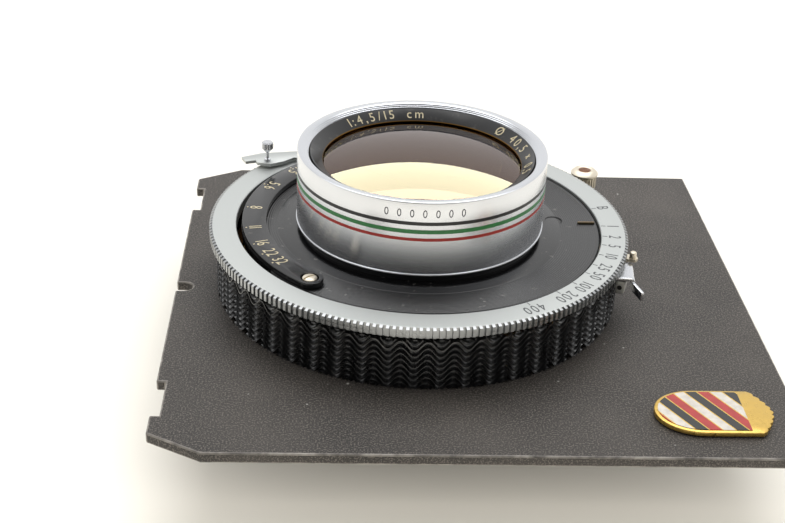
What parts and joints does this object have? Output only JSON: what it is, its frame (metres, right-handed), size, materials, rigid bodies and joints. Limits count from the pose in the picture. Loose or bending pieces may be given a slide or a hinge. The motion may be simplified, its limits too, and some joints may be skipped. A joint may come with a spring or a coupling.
{
  "type": "shutter-mounted taking lens on a lens board",
  "caption": "Large-format camera lens in a leaf shutter with a knurled speed ring, iris and front cell, mounted on a flat technical-camera lens board.",
  "frame": {"origin": "centre of the lens board in plan, at the height of the rear cell's rim, on which the object stands", "axes": "+Z along the optical axis from the rear cell to the front cell, +X along the board's longer side, +Y away from the badge side"},
  "size_m": [0.099, 0.096, 0.0433],
  "materials": {
    "satin_chrome": "satin chrome plate",
    "black_lacquer": "semi-gloss black lacquer",
    "board_crinkle": "fine crinkle enamel, worn at the edges",
    "blade_steel": "blackened steel",
    "brass": "satin brass",
    "nickel": "nickel plate",
    "enamel": "glossy enamel",
    "lens_glass": "polished, with an amber coating"
  },
  "bodies": {
    "shutter_body": {"lens_board": "board_crinkle", "light_trap_frame": "black_lacquer", "seal_washer": "black_lacquer", "shutter_housing": "black_lacquer", "socket_bracket": "black_lacquer", "face_plate": "black_lacquer", "aperture_scale_plate": "black_lacquer", "name_ring": "black_lacquer", "element_spacer": "black_lacquer", "centre_retainer": "black_lacquer", "rear_barrel": "black_lacquer", "rear_retainer": "black_lacquer", "frame_rivet_1": "nickel", "frame_rivet_2": "nickel", "frame_rivet_3": "nickel", "frame_rivet_4": "nickel", "cable_release_socket": "nickel", "scale_screw_1": "nickel", "scale_screw_2": "nickel", "badge_base": "brass", "speed_index": "brass", "badge_enamel": "enamel", "retaining_ring": "blade_steel", "iris_plate": "blade_steel", "shutter_plate": "blade_steel", "mainspring": "blade_steel", "flash_contact": "blade_steel", "front_barrel": "satin_chrome", "front_glass_outer": "lens_glass", "front_glass_inner": "lens_glass", "centre_glass": "lens_glass", "rear_glass_inner": "lens_glass", "rear_glass_outer": "lens_glass"},
    "speed_setting": {"speed_ring": "satin_chrome", "speed_cam_ring": "brass"},
    "aperture_setting": {"aperture_ring": "brass", "aperture_lever": "satin_chrome", "aperture_pin": "satin_chrome"},
    "shutter_drive": {"blade_drive_ring": "brass"},
    "cocking": {"cocking_lever": "satin_chrome"},
    "release": {"release_lever": "nickel"},
    "iris_leaf_01": {"iris_blade_01": "blade_steel"},
    "iris_leaf_02": {"iris_blade_02": "blade_steel"},
    "iris_leaf_03": {"iris_blade_03": "blade_steel"},
    "iris_leaf_04": {"iris_blade_04": "blade_steel"},
    "iris_leaf_05": {"iris_blade_05": "blade_steel"},
    "iris_leaf_06": {"iris_blade_06": "blade_steel"},
    "iris_leaf_07": {"iris_blade_07": "blade_steel"},
    "iris_leaf_08": {"iris_blade_08": "blade_steel"},
    "iris_leaf_09": {"iris_blade_09": "blade_steel"},
    "iris_leaf_10": {"iris_blade_10": "blade_steel"},
    "shutter_leaf_1": {"shutter_blade_1": "blade_steel"},
    "shutter_leaf_2": {"shutter_blade_2": "blade_steel"},
    "shutter_leaf_3": {"shutter_blade_3": "blade_steel"},
    "shutter_leaf_4": {"shutter_blade_4": "blade_steel"},
    "shutter_leaf_5": {"shutter_blade_5": "blade_steel"}
  },
  "joints": [
    {"name": "speed_turn", "type": "hinge", "parent": "shutter_body", "child": "speed_setting", "pos_m": [-0.0077, 0.0038, 0.0278], "axis": [0, 0, 1], "range_deg": [-11, 60]},
    {"name": "aperture_turn", "type": "hinge", "parent": "shutter_body", "child": "aperture_setting", "pos_m": [-0.0077, 0.0038, 0.0278], "axis": [0, 0, 1], "range_deg": [0, 72.5]},
    {"name": "iris_pivot_01", "type": "hinge", "parent": "shutter_body", "child": "iris_leaf_01", "pos_m": [0.0171, 0.0038, 0.0218], "axis": [0, 0, 1], "range_deg": [0, 31]},
    {"name": "iris_pivot_02", "type": "hinge", "parent": "shutter_body", "child": "iris_leaf_02", "pos_m": [0.01236, 0.01838, 0.0218], "axis": [0, 0, 1], "range_deg": [0, 31]},
    {"name": "iris_pivot_03", "type": "hinge", "parent": "shutter_body", "child": "iris_leaf_03", "pos_m": [-0.00004, 0.02739, 0.0218], "axis": [0, 0, 1], "range_deg": [0, 31]},
    {"name": "iris_pivot_04", "type": "hinge", "parent": "shutter_body", "child": "iris_leaf_04", "pos_m": [-0.01536, 0.02739, 0.0218], "axis": [0, 0, 1], "range_deg": [0, 31]},
    {"name": "iris_pivot_05", "type": "hinge", "parent": "shutter_body", "child": "iris_leaf_05", "pos_m": [-0.02776, 0.01838, 0.0218], "axis": [0, 0, 1], "range_deg": [0, 31]},
    {"name": "iris_pivot_06", "type": "hinge", "parent": "shutter_body", "child": "iris_leaf_06", "pos_m": [-0.0325, 0.0038, 0.0218], "axis": [0, 0, 1], "range_deg": [0, 31]},
    {"name": "iris_pivot_07", "type": "hinge", "parent": "shutter_body", "child": "iris_leaf_07", "pos_m": [-0.02776, -0.01078, 0.0218], "axis": [0, 0, 1], "range_deg": [0, 31]},
    {"name": "iris_pivot_08", "type": "hinge", "parent": "shutter_body", "child": "iris_leaf_08", "pos_m": [-0.01536, -0.01979, 0.0218], "axis": [0, 0, 1], "range_deg": [0, 31]},
    {"name": "iris_pivot_09", "type": "hinge", "parent": "shutter_body", "child": "iris_leaf_09", "pos_m": [-0.00004, -0.01979, 0.0218], "axis": [0, 0, 1], "range_deg": [0, 31]},
    {"name": "iris_pivot_10", "type": "hinge", "parent": "shutter_body", "child": "iris_leaf_10", "pos_m": [0.01236, -0.01078, 0.0218], "axis": [0, 0, 1], "range_deg": [0, 31]},
    {"name": "drive_turn", "type": "hinge", "parent": "shutter_body", "child": "shutter_drive", "pos_m": [-0.0077, 0.0038, 0.0278], "axis": [0, 0, 1], "range_deg": [0, 30]},
    {"name": "shutter_pivot_1", "type": "hinge", "parent": "shutter_body", "child": "shutter_leaf_1", "pos_m": [0.0193, 0.0038, 0.0248], "axis": [0, 0, 1], "range_deg": [-36.6, 0]},
    {"name": "shutter_pivot_2", "type": "hinge", "parent": "shutter_body", "child": "shutter_leaf_2", "pos_m": [0.00064, 0.02948, 0.0248], "axis": [0, 0, 1], "range_deg": [-36.6, 0]},
    {"name": "shutter_pivot_3", "type": "hinge", "parent": "shutter_body", "child": "shutter_leaf_3", "pos_m": [-0.02954, 0.01967, 0.0248], "axis": [0, 0, 1], "range_deg": [-36.6, 0]},
    {"name": "shutter_pivot_4", "type": "hinge", "parent": "shutter_body", "child": "shutter_leaf_4", "pos_m": [-0.02954, -0.01207, 0.0248], "axis": [0, 0, 1], "range_deg": [-36.6, 0]},
    {"name": "shutter_pivot_5", "type": "hinge", "parent": "shutter_body", "child": "shutter_leaf_5", "pos_m": [0.00064, -0.02188, 0.0248], "axis": [0, 0, 1], "range_deg": [-36.6, 0]},
    {"name": "cocking_turn", "type": "hinge", "parent": "shutter_body", "child": "cocking", "pos_m": [-0.0077, 0.0038, 0.0278], "axis": [0, 0, 1], "range_deg": [-40, 0]},
    {"name": "release_turn", "type": "hinge", "parent": "shutter_body", "child": "release", "pos_m": [-0.0077, 0.0038, 0.0278], "axis": [0, 0, 1], "range_deg": [0, 6], "stiffness_Nm_per_rad": 0.02}
  ],
  "couplings": [
    {"joint": "iris_pivot_01", "follows": "aperture_turn", "ratio": 0.42621},
    {"joint": "iris_pivot_02", "follows": "aperture_turn", "ratio": 0.42621},
    {"joint": "iris_pivot_03", "follows": "aperture_turn", "ratio": 0.42621},
    {"joint": "iris_pivot_04", "follows": "aperture_turn", "ratio": 0.42621},
    {"joint": "iris_pivot_05", "follows": "aperture_turn", "ratio": 0.42621},
    {"joint": "iris_pivot_06", "follows": "aperture_turn", "ratio": 0.42621},
    {"joint": "iris_pivot_07", "follows": "aperture_turn", "ratio": 0.42621},
    {"joint": "iris_pivot_08", "follows": "aperture_turn", "ratio": 0.42621},
    {"joint": "iris_pivot_09", "follows": "aperture_turn", "ratio": 0.42621},
    {"joint": "iris_pivot_10", "follows": "aperture_turn", "ratio": 0.42621},
    {"joint": "shutter_pivot_1", "follows": "drive_turn", "ratio": -1.2159},
    {"joint": "shutter_pivot_2", "follows": "drive_turn", "ratio": -1.2159},
    {"joint": "shutter_pivot_3", "follows": "drive_turn", "ratio": -1.2159},
    {"joint": "shutter_pivot_4", "follows": "drive_turn", "ratio": -1.2159},
    {"joint": "shutter_pivot_5", "follows": "drive_turn", "ratio": -1.2159}
  ]
}
